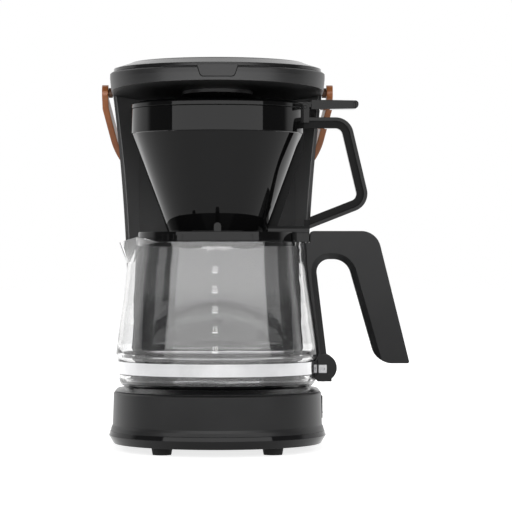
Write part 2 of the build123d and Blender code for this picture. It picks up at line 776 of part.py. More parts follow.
with BuildPart() as rim_collar:
    add(oval_solid(collar_section))
    add(below_head(), mode=Mode.SUBTRACT)
    add(front_tab(TAB_BACK_R, COLLAR_R + 5, TAB_LOW_Z - 1, COLLAR_Z + 1, 0.5), mode=Mode.SUBTRACT)
    add(bar_x(BAIL_Y, BAIL_Z, PIVOT_R + FIT, -REACH / 2, REACH / 2), mode=Mode.SUBTRACT)
write(rim_collar, "rim_collar")

with BuildPart() as brew_deck:
    add(oval_prism(COLLAR_INNER_R - FIT, HEAD_AXIS_Z - 12, HEAD_AXIS_Z + 20))
    add(post(0, 0, POCKET_R + WALL, HEAD_AXIS_Z - 20, HEAD_AXIS_Z + 30), mode=Mode.INTERSECT)
    add(below_head(), mode=Mode.SUBTRACT)
    add(below_head().moved(Location((0, 0, DECK_T))), mode=Mode.INTERSECT)
    add(post(0, 0, SPRAY_NECK_R + FIT, HEAD_AXIS_Z - 5, HEAD_AXIS_Z + 9), mode=Mode.SUBTRACT)
write(brew_deck, "brew_deck")

# the spray head lies flat against the sloping underside
head_turn = radians(HEAD_TILT)
head_face = Plane(origin=(0, 0, HEAD_AXIS_Z), x_dir=(1, 0, 0), z_dir=(0, sin(head_turn), cos(head_turn)))
with BuildPart() as spray_head:
    with BuildSketch(head_face):
        Circle(SPRAY_R)
    extrude(amount=-SPRAY_H)
    add(post(0, 0, SPRAY_NECK_R, HEAD_AXIS_Z - 1.0, RISER_TOP_Z - 7.2))
    add(post(0, 0, STUB_R + FIT, HEAD_AXIS_Z - 1.5, RISER_TOP_Z), mode=Mode.SUBTRACT)
    with BuildSketch(head_face.offset(-0.8)):
        Circle(SPRAY_R - 3)
    extrude(amount=-1.1, mode=Mode.SUBTRACT)
    with BuildSketch(head_face.offset(-1.2)):
        with PolarLocations(8, 6):
            Circle(1.1)
        with PolarLocations(18, 10):
            Circle(1.1)
    extrude(amount=-SPRAY_H, mode=Mode.SUBTRACT)
write(spray_head, "spray_head")

# Lid with its finger tab, and the fixed cover behind the hinge


def lid_section(low):
    Polyline(
        (0, LID_TOP_Z),
        (LID_TOP_R, LID_TOP_Z),
        (LID_TOP_R + 1.6, LID_TOP_Z - 0.8),
        (LID_R - 0.3, LID_LOW_Z + 2.6),
        (LID_R, low),
        (LID_R - 2.6, low),
        (LID_TOP_R - 0.6, LID_TOP_Z - LID_T),
        (0, LID_TOP_Z - LID_T),
        close=True,
    )


sweep_r = LID_TOP_Z - HINGE_Z + 0.6
lug_out = KNUCKLE_HALF + PLAY + LUG_W
with BuildPart() as lid:
    add(oval_solid(lambda: lid_section(LID_LOW_Z)))
    add(block(-REACH, REACH, HINGE_Y, REACH, LID_LOW_Z - 5, LID_TOP_Z + 5), mode=Mode.SUBTRACT)
    for side in (-1, 1):
        x0, x1 = sorted((side * KNUCKLE_HALF, side * (lug_out + PLAY)))
        add(block(x0, x1, HINGE_Y - sweep_r, HINGE_Y + 5, LID_LOW_Z - 5, LID_TOP_Z + 5),
            mode=Mode.SUBTRACT)
    add(block(-KNUCKLE_HALF, KNUCKLE_HALF, HINGE_Y - 6, HINGE_Y, HINGE_Z, LID_TOP_Z - LID_T + 0.2))
    add(bar_x(HINGE_Y, HINGE_Z, KNUCKLE_R, -KNUCKLE_HALF, KNUCKLE_HALF))
    add(bar_x(HINGE_Y, HINGE_Z, LID_PIN_R + FIT, -KNUCKLE_HALF - 1, KNUCKLE_HALF + 1), mode=Mode.SUBTRACT)
    add(front_tab(TAB_BACK_R + 0.4, COLLAR_R, TAB_LOW_Z - 1, LID_LOW_Z + 0.8, 0))
    add(front_tab(TAB_BACK_R - 1.4, TAB_BACK_R + 1, LID_LOW_Z, LID_LOW_Z + 0.8, 0))
write(lid, "lid")

with BuildPart() as hinge_cover:
    add(oval_solid(lambda: lid_section(COLLAR_Z)))
    add(block(-REACH, REACH, -REACH, HINGE_Y + sweep_r, COLLAR_Z - 5, LID_TOP_Z + 5), mode=Mode.SUBTRACT)
    for side in (-1, 1):
        x0, x1 = sorted((side * (KNUCKLE_HALF + PLAY), side * lug_out))
        add(block(x0, x1, HINGE_Y, HINGE_Y + sweep_r + 2, HINGE_Z - KNUCKLE_R, LID_TOP_Z - 4.0))
        add(bar_x(HINGE_Y, HINGE_Z, KNUCKLE_R, x0, x1))
    add(bar_x(HINGE_Y, HINGE_Z, LID_PIN_R + FIT, -lug_out - 1, lug_out + 1), mode=Mode.SUBTRACT)
write(hinge_cover, "hinge_cover")

with BuildPart() as lid_pin:
    add(bar_x(HINGE_Y, HINGE_Z, LID_PIN_R, -lug_out, lug_out))
write(lid_pin, "lid_pin")

# Bail strap: half an oval hoop lying down behind the tower, turning on a pivot each side
rest = radians(BAIL_REST)
bail_plane = Plane(origin=(0, BAIL_Y, BAIL_Z), x_dir=(1, 0, 0), z_dir=(0, sin(rest), cos(rest)))
bail_inner = BAIL_HALF - BAIL_T
bail_mid = BAIL_HALF - BAIL_T / 2
bail_top = BAIL_LENGTH - BAIL_T / 2
# where the sloping sides run into the round end
bend_centre = bail_top - BAIL_BEND_R
side_reach = sqrt(bail_mid ** 2 + (BAIL_END_L - bend_centre) ** 2)
side_turn = acos(BAIL_BEND_R / side_reach) + atan2(BAIL_END_L - bend_centre, bail_mid)
bend_x = BAIL_BEND_R * cos(side_turn)
bend_y = bend_centre + BAIL_BEND_R * sin(side_turn)
with BuildPart() as bail_strap:
    with BuildSketch(bail_plane.offset(-BAIL_W / 2)):
        with BuildLine():
            Polyline((-bail_mid, 0), (-bail_mid, BAIL_END_L), (-bend_x, bend_y))
            ThreePointArc((-bend_x, bend_y), (0, bail_top), (bend_x, bend_y))
            Polyline((bend_x, bend_y), (bail_mid, BAIL_END_L), (bail_mid, 0))
            offset(amount=BAIL_T / 2)
        make_face()
    extrude(amount=BAIL_W)
    for side in (-1, 1):
        x0, x1 = sorted((side * bail_inner, side * BAIL_HALF))
        add(bar_x(BAIL_Y, BAIL_Z, BAIL_EYE_R, x0, x1))
    for side in (-1, 1):
        x0, x1 = sorted((side * (BAIL_HALF - PIVOT_HEAD_T - PLAY), side * (BAIL_HALF + 5)))
        add(bar_x(BAIL_Y, BAIL_Z, PIVOT_HEAD_R + PLAY, x0, x1), mode=Mode.SUBTRACT)
    add(bar_x(BAIL_Y, BAIL_Z, PIVOT_R + FIT, -REACH / 2, REACH / 2), mode=Mode.SUBTRACT)
write(bail_strap, "bail_strap")

with BuildPart() as bail_pivots:
    for side in (-1, 1):
        x0, x1 = sorted((side * (COLLAR_INNER_R - 1.5), side * BAIL_HALF))
        add(bar_x(BAIL_Y, BAIL_Z, PIVOT_R, x0, x1))
        x0, x1 = sorted((side * (TOWER_TOP_R + 0.6), side * (bail_inner - PLAY)))
        add(bar_x(BAIL_Y, BAIL_Z, PIVOT_BOSS_R, x0, x1))
        x0, x1 = sorted((side * (BAIL_HALF - PIVOT_HEAD_T), side * BAIL_HALF))
        add(bar_x(BAIL_Y, BAIL_Z, PIVOT_HEAD_R, x0, x1))
write(bail_pivots, "bail_pivots")


# Carafe glass
def glass_outside(grow):
    foot = Line((0, PLATE_Z), (GLASS_FOOT_R, PLATE_Z))
    belly = BAND_SEAT_R - 0.3 + grow
    heel = TangentArc(foot @ 1, (belly, PLATE_Z + belly - GLASS_FOOT_R), tangent=(1, 0))
    wall = Line(heel @ 1, (belly, BAND_LOW_Z - 1))
    seat = Line(wall @ 1, (BAND_SEAT_R + grow, BAND_LOW_Z))
    rise = Line(seat @ 1, (BAND_SEAT_R + grow, BAND_HIGH_Z + 0.4))
    shoulder = TangentArc((GLASS_MAX_R + grow, SHOULDER_Z), rise @ 1, tangent=(0.03, -1))
    side = Spline(
        shoulder @ 0,
        (78.2 + grow, 90.5),
        (75.4 + grow, 110.5),
        (72.1 + grow, 135.4),
        (GLASS_NECK_R + grow, GLASS_NECK_Z),
    )
    neck = Line(side @ 1, (0, GLASS_NECK_Z))
    Line(neck @ 1, (0, PLATE_Z))


def glass_inside():
    low = PLATE_Z + GLASS_T
    foot = Line((0, low), (GLASS_FOOT_R - 1, low))
    belly = BAND_SEAT_R - 0.3 - GLASS_T
    heel = TangentArc(foot @ 1, (belly, low + belly - GLASS_FOOT_R + 1), tangent=(1, 0))
    rise = Line(heel @ 1, (BAND_SEAT_R - GLASS_T, BAND_HIGH_Z))
    side = Spline(
        rise @ 1,
        (GLASS_MAX_R - GLASS_T - 0.3, SHOULDER_Z + 1.5),
        (78.2 - GLASS_T, 90.5),
        (75.4 - GLASS_T, 110.5),
        (72.1 - GLASS_T, 135.4),
        (GLASS_NECK_R - GLASS_T, GLASS_NECK_Z),
    )
    neck = Line(side @ 1, (0, GLASS_NECK_Z))
    Line(neck @ 1, (0, low))


def lip_outline(radius, reach, nose):
    """Round mouth drawn out to a pouring nose on the left."""
    with BuildLine() as line:
        centre = reach - nose
        lean = (radius - nose) / centre
        side = sqrt(1 - lean * lean)
        start = (-lean * radius, side * radius)
        over = (-lean * radius, -side * radius)
        into = (-centre - lean * nose, -side * nose)
        out = (-centre - lean * nose, side * nose)
        ThreePointArc(start, (radius, 0), over)
        Line(over, into)
        ThreePointArc(into, (-reach, 0), out)
        Line(out, start)
    return line.wires()[0]


def lip_solid(inset, low, high):
    with BuildPart() as body:
        with BuildSketch(level(low)):
            add(lip_outline(GLASS_NECK_R - inset, GLASS_NECK_R + 0.5 - inset, SPOUT_R))
            make_face()
        with BuildSketch(level(high)):
            add(lip_outline(GLASS_RIM_R - inset, SPOUT_REACH - inset, SPOUT_R - inset / 2))
            make_face()
        loft()
    return body.part


with BuildPart() as carafe_glass:
    add(turned(lambda: glass_outside(0)))
    add(lip_solid(0, GLASS_NECK_Z, SPOUT_Z))
    add(turned(glass_inside), mode=Mode.SUBTRACT)
    add(lip_solid(GLASS_T, GLASS_NECK_Z, SPOUT_Z), mode=Mode.SUBTRACT)
    # level rim, rising beside the spout and drooping to its tip
    with BuildSketch(upright(REACH / 2)):
        with BuildLine():
            Polyline((-REACH, SPOUT_Z - 95), (-GLASS_NECK_R + 8.7, SPOUT_Z), (-GLASS_NECK_R + 24.7, GLASS_RIM_Z),
                     (REACH, GLASS_RIM_Z), (REACH, REACH), (-REACH, REACH), close=True)
        make_face()
    extrude(amount=REACH, mode=Mode.SUBTRACT)
write(carafe_glass, "carafe_glass")

# Steel band with two ears drawn together by a screw
with BuildPart() as carafe_band:
    with BuildSketch(level(BAND_LOW_Z)):
        Circle(BAND_R)
        with Locations((BAND_R + (EAR_X - BAND_R) / 2 - 1, 0)):
            Rectangle(EAR_X - BAND_R + 2, 2 * (EAR_Y + EAR_T))
        Circle(BAND_SEAT_R + 2 * FIT, mode=Mode.SUBTRACT)
        with Locations((BAND_R, 0)):
            Rectangle(2 * (EAR_X - BAND_R) + 4, 2 * EAR_Y, mode=Mode.SUBTRACT)
    extrude(amount=BAND_HIGH_Z - BAND_LOW_Z)
    add(bar_y(BAND_SCREW_X, BAND_SCREW_Z, SCREW_R + FIT, -8, 8), mode=Mode.SUBTRACT)
write(carafe_band, "carafe_band")

ear_out = EAR_Y + EAR_T
with BuildPart() as band_screw:
    add(bar_y(BAND_SCREW_X, BAND_SCREW_Z, SCREW_R, -GRIP_HALF + 3, ear_out + 1))
    add(bar_y(BAND_SCREW_X, BAND_SCREW_Z, 2.3, ear_out, ear_out + 2))
    add(block(BAND_SCREW_X - 3, BAND_SCREW_X + 3, ear_out + 1.1, ear_out + 2.5,
              BAND_SCREW_Z - 0.4, BAND_SCREW_Z + 0.4), mode=Mode.SUBTRACT)
write(band_screw, "band_screw")

with BuildPart() as band_nut:
    with BuildSketch(upright(-ear_out)):
        with Locations((BAND_SCREW_X, BAND_SCREW_Z)):
            RectangleRounded(2 * NUT_HALF, 2 * NUT_HALF, 0.5)
            Circle(SCREW_R + FIT, mode=Mode.SUBTRACT)
    extrude(amount=GRIP_HALF - 0.4 - ear_out)
write(band_nut, "band_nut")

# Carafe handle: strap along the glass, top bar and an open-ended grip
with BuildPart() as carafe_handle:
    with BuildSketch(upright(GRIP_HALF)) as grip:
        with BuildLine():
            Polyline(
                (GRIP_BACK_X, GRIP_TOP_Z),
                (GRIP_TOP_X, GRIP_TOP_Z),
                (GRIP_END_X, GRIP_LOW_Z),
                (GRIP_HEEL_X, GRIP_LOW_Z),
                (ARCH_X[1], ARCH_Z),
                (ARCH_X[0], ARCH_Z),
                (STRAP_LOW_X, GRIP_LOW_Z),
                (INSIDE_X, GRIP_LOW_Z),
                (INSIDE_X, GLASS_RIM_Z - 0.5),
                (GRIP_BACK_X, GLASS_RIM_Z - 0.5),
                close=True,
            )
        make_face()
        fillet(near(grip, GRIP_BACK_X, GRIP_TOP_Z), 3)
        fillet(near(grip, GRIP_TOP_X, GRIP_TOP_Z), 15.4)
        fillet(near(grip, ARCH_X[1], ARCH_Z), 14)
        fillet(near(grip, ARCH_X[0], ARCH_Z), 10)
    extrude(amount=2 * GRIP_HALF)
    inner = carafe_handle.edges().filter_by(lambda e: abs(abs(e.center().Y) - GRIP_HALF) < 0.01)
    inner = inner.filter_by(lambda e: ARCH_X[0] + 0.5 < e.center().X and e.center().Z < ARCH_Z + 0.5)
    inner = inner.filter_by(lambda e: e.center().X < (GRIP_HEEL_X + ARCH_X[1]) / 2 + 4)
    chamfer(inner, 6.0, 4.5)
    across = carafe_handle.edges().filter_by(Axis.Y)
    fillet(across.sort_by_distance((GRIP_END_X, 0, GRIP_LOW_Z))[0], 1.5)
    across = carafe_handle.edges().filter_by(Axis.Y)
    fillet(across.sort_by_distance((GRIP_HEEL_X, 0, GRIP_LOW_Z))[0], 16)
    add(bar_y(BAND_SCREW_X + 0.2, BAND_SCREW_Z + 0.9, LUG_R, -GRIP_HALF, GRIP_HALF))
    add(block(BAND_SCREW_X - 4, BAND_SCREW_X + 7, -GRIP_HALF, GRIP_HALF, LUG_LOW_Z, BAND_SCREW_Z))
    add(turned(lambda: glass_outside(0.15)), mode=Mode.SUBTRACT)
    add(lip_solid(-0.15, GLASS_NECK_Z - 0.5, SPOUT_Z), mode=Mode.SUBTRACT)
    add(post(0, 0, BAND_R + 0.2, BAND_LOW_Z - 0.4, BAND_HIGH_Z + 0.4), mode=Mode.SUBTRACT)
    add(block(INSIDE_X, EAR_X + 0.4, -EAR_Y - EAR_T - PLAY, EAR_Y + EAR_T + PLAY,
              BAND_LOW_Z - 0.4, BAND_HIGH_Z + 0.4), mode=Mode.SUBTRACT)
    pocket = NUT_HALF + 0.1
    add(block(BAND_SCREW_X - pocket, BAND_SCREW_X + pocket, -GRIP_HALF - 1, GRIP_HALF + 1,
              BAND_SCREW_Z - pocket, BAND_SCREW_Z + pocket), mode=Mode.SUBTRACT)
write(carafe_handle, "carafe_handle")


# Dripper: band, cone, flange and plug for the carafe mouth
def dripper_section():
    floor_z = FLANGE_LOW_Z + 2.5
    Polyline(
        (DRIPPER_R - DRIPPER_T, DRIPPER_TOP_Z),
        (DRIPPER_R, DRIPPER_TOP_Z),
        (DRIPPER_R, DRIPPER_BAND_Z),
        (DRIPPER_R - 0.7, DRIPPER_BAND_Z - 0.4),
        (DRIPPER_FOOT_R, FLANGE_TOP_Z + 0.7),
        (FLANGE_R, FLANGE_TOP_Z),
        (FLANGE_R + 0.5, FLANGE_WALL_Z),
        (PLUG_R, FLANGE_WALL_Z),
        (PLUG_R, PLUG_LOW_Z),
        (PLUG_R - 5.0, PLUG_LOW_Z),
        (PLUG_R - 5.0, FLANGE_LOW_Z),
        (8.0, FLANGE_LOW_Z),
        (8.0, FLANGE_LOW_Z - 7.0),
        (5.0, FLANGE_LOW_Z - 7.0),
        (5.0, floor_z),
        (DRIPPER_FOOT_R - DRIPPER_T - 0.3, floor_z),
        (DRIPPER_R - 0.7 - DRIPPER_T, DRIPPER_BAND_Z - 0.4),
        (DRIPPER_R - DRIPPER_T, DRIPPER_BAND_Z + 0.4),
        close=True,
    )


with BuildPart() as dripper_cone:
    add(turned(dripper_section))
    for turn in (125, 235):
        # tab resting on the carafe rim
        add(block(FLANGE_R - 2.5, TAB_R, -2.6, 2.6, GLASS_RIM_Z, FLANGE_TOP_Z - 2).rotate(Axis.Z, turn))
    for side in (-1, 1):
        for x in (-20.0, 20.0):
            y0, y1 = sorted((side * (PLUG_R - 9.2), side * (PLUG_R - 5.0)))
            add(block(x - 7.0, x + 7.0, y0, y1, PLUG_LOW_Z - 1.8, FLANGE_LOW_Z + 0.5))
    # stub with a rounded head on the flange
    add(block(-2.8, 2.8, -FLANGE_R + 0.8, -FLANGE_R + 6, FLANGE_TOP_Z - 0.5, FLANGE_TOP_Z + 4.2))
    add(bar_y(0, FLANGE_TOP_Z + 4.2, 2.8, -FLANGE_R + 0.8, -FLANGE_R + 6))
    # arm to the loop handle, resting on the carafe rim
    with BuildSketch(sideways(DRIPPER_FOOT_R)):
        with BuildLine():
            Polyline((-LOOP_HALF - 0.4, FLANGE_TOP_Z - 0.5), (LOOP_HALF + 0.4, FLANGE_TOP_Z - 0.5),
                     (LOOP_HALF, ARM_TOP_Z), (-LOOP_HALF, ARM_TOP_Z), close=True)
        make_face()
    extrude(amount=ARM_X - DRIPPER_FOOT_R)
    add(block(FLANGE_R - 4, ARM_X, -LOOP_HALF, LOOP_HALF, GLASS_RIM_Z, FLANGE_TOP_Z))
    add(block(ARM_X - 4, ARM_X, -LOOP_HALF, LOOP_HALF, FLANGE_TOP_Z, ARM_TOP_Z + 5))
    # rib down the handle side of the cone
    with BuildSketch(upright(1.6)):
        with BuildLine():
            Polyline((DRIPPER_FOOT_R - 1, FLANGE_TOP_Z - 0.5), (DRIPPER_FOOT_R + 6, FLANGE_TOP_Z - 0.5),
                     (DRIPPER_R, DRIPPER_BAND_Z - 12), (DRIPPER_R, DRIPPER_BAND_Z + 2),
                     (DRIPPER_R - 1.5, DRIPPER_BAND_Z + 2), (DRIPPER_R - 2, DRIPPER_BAND_Z), close=True)
        make_face()
    extrude(amount=3.2)
write(dripper_cone, "dripper_cone")

cheek_near = 4.8
cheek_far = 7.8


def beside(points, away):
    """Corners of a bent line shifted sideways, to the left of its run."""
    ways = []
    for (x0, y0), (x1, y1) in zip(points, points[1:]):
        size = sqrt((x1 - x0) ** 2 + (y1 - y0) ** 2)
        ways.append(((x1 - x0) / size, (y1 - y0) / size))
    corners = []
    for i, (x, y) in enumerate(points):
        ux, uy = ways[max(i - 1, 0)]
        vx, vy = ways[min(i, len(ways) - 1)]
        share = away / (1 + ux * vx + uy * vy)
        corners.append((x - (uy + vy) * share, y + (ux + vx) * share))
    return corners


rim_off = (LOOP_W - LOOP_RIM_W) / 2
with BuildPart() as dripper_handle:
    with BuildSketch(upright(LOOP_HALF)) as loop:
        with BuildLine():
            FilletPolyline(*beside(LOOP_PATH, rim_off), radius=LOOP_BEND_R + rim_off)
            offset(amount=LOOP_RIM_W / 2)
        make_face()
    extrude(amount=2 * LOOP_HALF)
    # thinner web along the inside of the rim
    with BuildSketch(upright(LOOP_WEB_HALF)):
        with BuildLine():
            FilletPolyline(*LOOP_PATH, radius=LOOP_BEND_R)
            offset(amount=LOOP_W / 2)
        make_face()
    extrude(amount=2 * LOOP_WEB_HALF)
    for side in (-1, 1):
        y0, y1 = sorted((side * cheek_near, side * cheek_far))
        add(bar_y(CAP_HINGE_X, CAP_HINGE_Z, CAP_KNUCKLE_R, y0, y1))
        add(block(CAP_HINGE_X - CAP_KNUCKLE_R, CAP_HINGE_X + CAP_KNUCKLE_R, y0, y1,
                  LOOP_PATH[0][1], CAP_HINGE_Z))
    add(post(0, 0, DRIPPER_R + FIT, DRIPPER_BAND_Z - 5, DRIPPER_TOP_Z + PLAY), mode=Mode.SUBTRACT)
    add(block(0, ARM_X + FIT, -REACH, REACH, 150, FLANGE_TOP_Z + 20), mode=Mode.SUBTRACT)
    add(bar_y(CAP_HINGE_X, CAP_HINGE_Z, CAP_PIN_R + FIT, -9, 9), mode=Mode.SUBTRACT)
write(dripper_handle, "dripper_handle")


def cap_section():
    Polyline(
        (CAP_HOLE_R, CAP_TOP_Z),
        (CAP_R - 5.0, CAP_TOP_Z),
        (CAP_R - 0.6, CAP_TOP_Z - 1.5),
        (CAP_R, CAP_TOP_Z - 2.2),
        (CAP_R, CAP_Z),
        (CAP_R - 2.0, CAP_Z),
        (CAP_R - 2.0, CAP_TOP_Z - 2.0),
        (CAP_HOLE_R + 1.6, CAP_TOP_Z - 2.0),
        (CAP_HOLE_R + 1.6, CAP_Z),
        (CAP_HOLE_R, CAP_Z),
        close=True,
    )


lever_low = CAP_HINGE_Z - 1.7
with BuildPart() as dripper_lid:
    add(turned(cap_section))
    for side in (-1, 1):
        y0, y1 = sorted((side * (cheek_near - PLAY), side * (cheek_far + PLAY)))
        add(block(CAP_HINGE_X - CAP_KNUCKLE_R - PLAY, CAP_R + 2, y0, y1, CAP_Z - 1, CAP_TOP_Z + 1),
            mode=Mode.SUBTRACT)
    barrel_half = cheek_near - PLAY
    add(bar_y(CAP_HINGE_X, CAP_HINGE_Z, CAP_KNUCKLE_R, -barrel_half, barrel_half))
    add(block(CAP_R - 8, CAP_HINGE_X + 8, -barrel_half, barrel_half, CAP_HINGE_Z, LEVER_TOP_Z - 1.5))
    with BuildSketch(upright(LOOP_HALF)) as lever:
        with BuildLine():
            Polyline(
                (CAP_HINGE_X + 5, lever_low),
                (LEVER_X, lever_low + 0.6),
                (LEVER_X, LEVER_TOP_Z - 0.6),
                (CAP_HINGE_X + 5, LEVER_TOP_Z),
                close=True,
            )
        make_face()
        fillet(near(lever, LEVER_X, lever_low), 3.4)
        fillet(near(lever, LEVER_X, LEVER_TOP_Z), 2.4)
    extrude(amount=2 * LOOP_HALF)
    # hollow on each face near the end
    for side in (-1, 1):
        y0, y1 = sorted((side * (LOOP_HALF - 3), side * (LOOP_HALF + 1)))
        add(block(LEVER_X - 4.2, LEVER_X - 2.2, y0, y1, lever_low + 1.8, LEVER_TOP_Z - 2.0), mode=Mode.SUBTRACT)
    add(bar_y(CAP_HINGE_X, CAP_HINGE_Z, CAP_PIN_R + FIT, -9, 9), mode=Mode.SUBTRACT)
    add(post(0, 0, DRIPPER_R + PLAY, DRIPPER_BAND_Z, DRIPPER_TOP_Z + PLAY), mode=Mode.SUBTRACT)
write(dripper_lid, "dripper_lid")

with BuildPart() as dripper_pin:
    add(bar_y(CAP_HINGE_X, CAP_HINGE_Z, CAP_PIN_R, -cheek_far, cheek_far))
write(dripper_pin, "dripper_pin")


# Permanent filter standing in the cone
def filter_section():
    low = FLANGE_LOW_Z + 2.5
    gap = 0.4
    foot = DRIPPER_FOOT_R - DRIPPER_T - 0.3 - gap
    top = DRIPPER_R - 0.7 - DRIPPER_T - gap
    Polyline(
        (6.0, low),
        (foot, low),
        (top, DRIPPER_BAND_Z),
        (top, DRIPPER_TOP_Z - 6),
        (top - 1.0, DRIPPER_TOP_Z - 6),
        (top - 1.0, DRIPPER_BAND_Z + 0.5),
        (foot - 1.0, low + 1.2),
        (6.0, low + 1.2),
        close=True,
    )


with BuildPart() as filter_insert:
    add(turned(filter_section))
write(filter_insert, "filter_insert")
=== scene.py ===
import json
import math

import bpy
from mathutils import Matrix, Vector


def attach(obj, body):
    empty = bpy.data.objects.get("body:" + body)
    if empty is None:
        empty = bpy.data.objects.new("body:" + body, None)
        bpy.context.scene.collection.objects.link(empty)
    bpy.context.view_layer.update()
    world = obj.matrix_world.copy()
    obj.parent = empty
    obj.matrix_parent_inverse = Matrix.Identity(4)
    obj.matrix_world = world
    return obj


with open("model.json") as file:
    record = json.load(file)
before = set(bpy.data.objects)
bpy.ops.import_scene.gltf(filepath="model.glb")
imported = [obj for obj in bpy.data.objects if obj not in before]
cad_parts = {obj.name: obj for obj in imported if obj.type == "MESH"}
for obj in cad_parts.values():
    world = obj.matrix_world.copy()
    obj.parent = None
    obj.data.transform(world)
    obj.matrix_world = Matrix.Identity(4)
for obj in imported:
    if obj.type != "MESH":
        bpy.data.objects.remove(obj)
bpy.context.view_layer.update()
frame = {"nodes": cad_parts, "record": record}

nodes = frame["nodes"]
scene = bpy.context.scene
scene.view_settings.view_transform = "Standard"

# Lengths are in metres
MM = 0.001


# Shader values as Python expressions
class Flow:
    """A socket in one node tree. Arithmetic on it adds Math nodes."""

    def __init__(self, tree, socket=None):
        self.tree = tree
        self.socket = socket

    def node(self, kind, settings=None, sockets=None, out=0):
        """A new node of this kind, with its settings and the values or links of its sockets."""
        made = self.tree.nodes.new("ShaderNode" + kind)
        for key, value in (settings or {}).items():
            setattr(made, key, value)
        for key, value in (sockets or {}).items():
            if isinstance(value, Flow):
                self.tree.links.new(value.socket, made.inputs[key])
            else:
                made.inputs[key].default_value = value
        return Flow(self.tree, made.outputs[out]) if made.outputs else None

    def maths(self, operation, *values):
        return self.node("Math", {"operation": operation}, dict(enumerate(values)))

    def __add__(self, other):
        return self.maths("ADD", self, other)

    def __sub__(self, other):
        return self.maths("SUBTRACT", self, other)

    def __rsub__(self, other):
        return self.maths("SUBTRACT", other, self)

    def __mul__(self, other):
        return self.maths("MULTIPLY", self, other)

    __radd__ = __add__
    __rmul__ = __mul__

    def between(self, low, high, to_low=0.0, to_high=1.0):
        """to_low to to_high, eased, as this value goes from low to high."""
        return self.node("MapRange", {"interpolation_type": "SMOOTHSTEP"}, {
            "Value": self, "From Min": low, "From Max": high, "To Min": to_low, "To Max": to_high})

    def mix(self, first, second):
        """Colour that goes from first to second as this value goes from 0 to 1."""
        return self.node("Mix", {"data_type": "RGBA"}, {0: self, 6: first, 7: second}, 2)


def rgb(red, green, blue):
    return (red, green, blue, 1.0)


def grey(level):
    return (level, level, level, 1.0)


def tinted(colour, share):
    """The colour with its red, green and blue multiplied by share."""
    return tuple(channel * share for channel in colour[:3]) + (1.0,)


def blank(name):
    """An empty material and the start of its node tree."""
    material = bpy.data.materials.new(name)
    material.use_nodes = True
    material.node_tree.nodes.clear()
    return material, Flow(material.node_tree)


def place(flow):
    """The piece's own coordinates in metres."""
    return flow.node("TexCoord", out="Object")


def noise(flow, size, detail=2.0, where=None):
    """Even noise whose patches are about size metres across, 0 to 1."""
    return flow.node("TexNoise", None, {
        "Vector": where or place(flow), "Scale": 1.0 / size, "Detail": detail})


def split(flow, vector):
    """The x, y and z of a vector."""
    return [flow.node("SeparateXYZ", None, {0: vector}, axis) for axis in range(3)]


def from_axis(flow):
    """Distance from the carafe's upright axis in metres."""
    x, y, _ = split(flow, place(flow))
    return x.maths("SQRT", x * x + y * y)


def soft_edge(flow, radius):
    """Surface direction with every edge rounded to this radius."""
    return flow.node("Bevel", {"samples": 6}, {"Radius": radius})


def relief(flow, height, depth, under=None):
    """Surface direction with bumps of this depth in metres, on top of another direction."""
    sockets = {"Height": height, "Distance": depth, "Strength": 1.0}
    if under:
        sockets["Normal"] = under
    return flow.node("Bump", None, sockets)


def close(material, shader):
    """The material with this shader as its surface."""
    shader.node("OutputMaterial", None, {"Surface": shader})
    return material


MOTTLE = 0.10
RECESS_EDGE = 0.4 * MM
RECESS_FADE = 20 * MM


def moulded(name, colour, roughness, grain, depth, edge=0.4 * MM, specular=0.28, painted_light_zone=None):
    """Moulded plastic: spark-eroded grain, faint mottling and edges that are rounded in the shading.

    The last argument, if given, is a radius, a height and a colour of painted light: nearer to the
    carafe's axis than that, the plastic takes that colour from that height up, standing in for light
    falling there.
    """
    material, flow = blank(name)
    cloud = noise(flow, 45 * MM, 3.0)
    fine = noise(flow, grain, 2.0)
    rounded = soft_edge(flow, edge)
    rough = (fine - 0.5) * 0.10 + (cloud - 0.5) * 0.08 + roughness
    tone = cloud.between(0.3, 0.7).mix(tinted(colour, 1 - MOTTLE), tinted(colour, 1 + MOTTLE))
    # Painted light: a lighter colour near the axis, above a height
    if painted_light_zone:
        reach, height, painted_light_colour = painted_light_zone
        painted_light_mask = from_axis(flow).between(reach, reach + RECESS_EDGE, 1.0, 0.0)
        _, _, z = split(flow, place(flow))
        painted_light_mask = painted_light_mask * z.between(height - RECESS_FADE, height)
        tone = painted_light_mask.mix(tone, painted_light_colour)
    shader = flow.node("BsdfPrincipled", None, {
        "Base Color": tone, "Roughness": rough, "Specular IOR Level": specular,
        "Normal": relief(flow, fine, depth, rounded)})
    return close(material, shader)


GLOSS_EDGE = 0.5 * MM
GLOSS_RIPPLE = 0.004 * MM
GLOSS_SPECULAR = 0.19
HOLLOW_EDGE = 0.1 * MM


def gloss_haze(flow):
    """Broad, uneven haze."""
    return noise(flow, 26 * MM, 4.0)


def polish(flow, tone, haze, roughness):
    """Polished plastic shader with a faint moulding ripple and uneven haze."""
    wave = noise(flow, 9 * MM, 1.0)
    return flow.node("BsdfPrincipled", None, {
        "Base Color": tone, "Specular IOR Level": GLOSS_SPECULAR,
        "Roughness": haze.between(0.35, 0.75, roughness * 0.85, roughness * 1.25),
        "Normal": relief(flow, wave, GLOSS_RIPPLE, soft_edge(flow, GLOSS_EDGE))})


def glossy(name, colour, roughness):
    """Polished plastic whose colour varies a little with its haze."""
    material, flow = blank(name)
    haze = gloss_haze(flow)
    tone = haze.between(0.3, 0.7).mix(colour, tinted(colour, 1.25))
    return close(material, polish(flow, tone, haze, roughness))


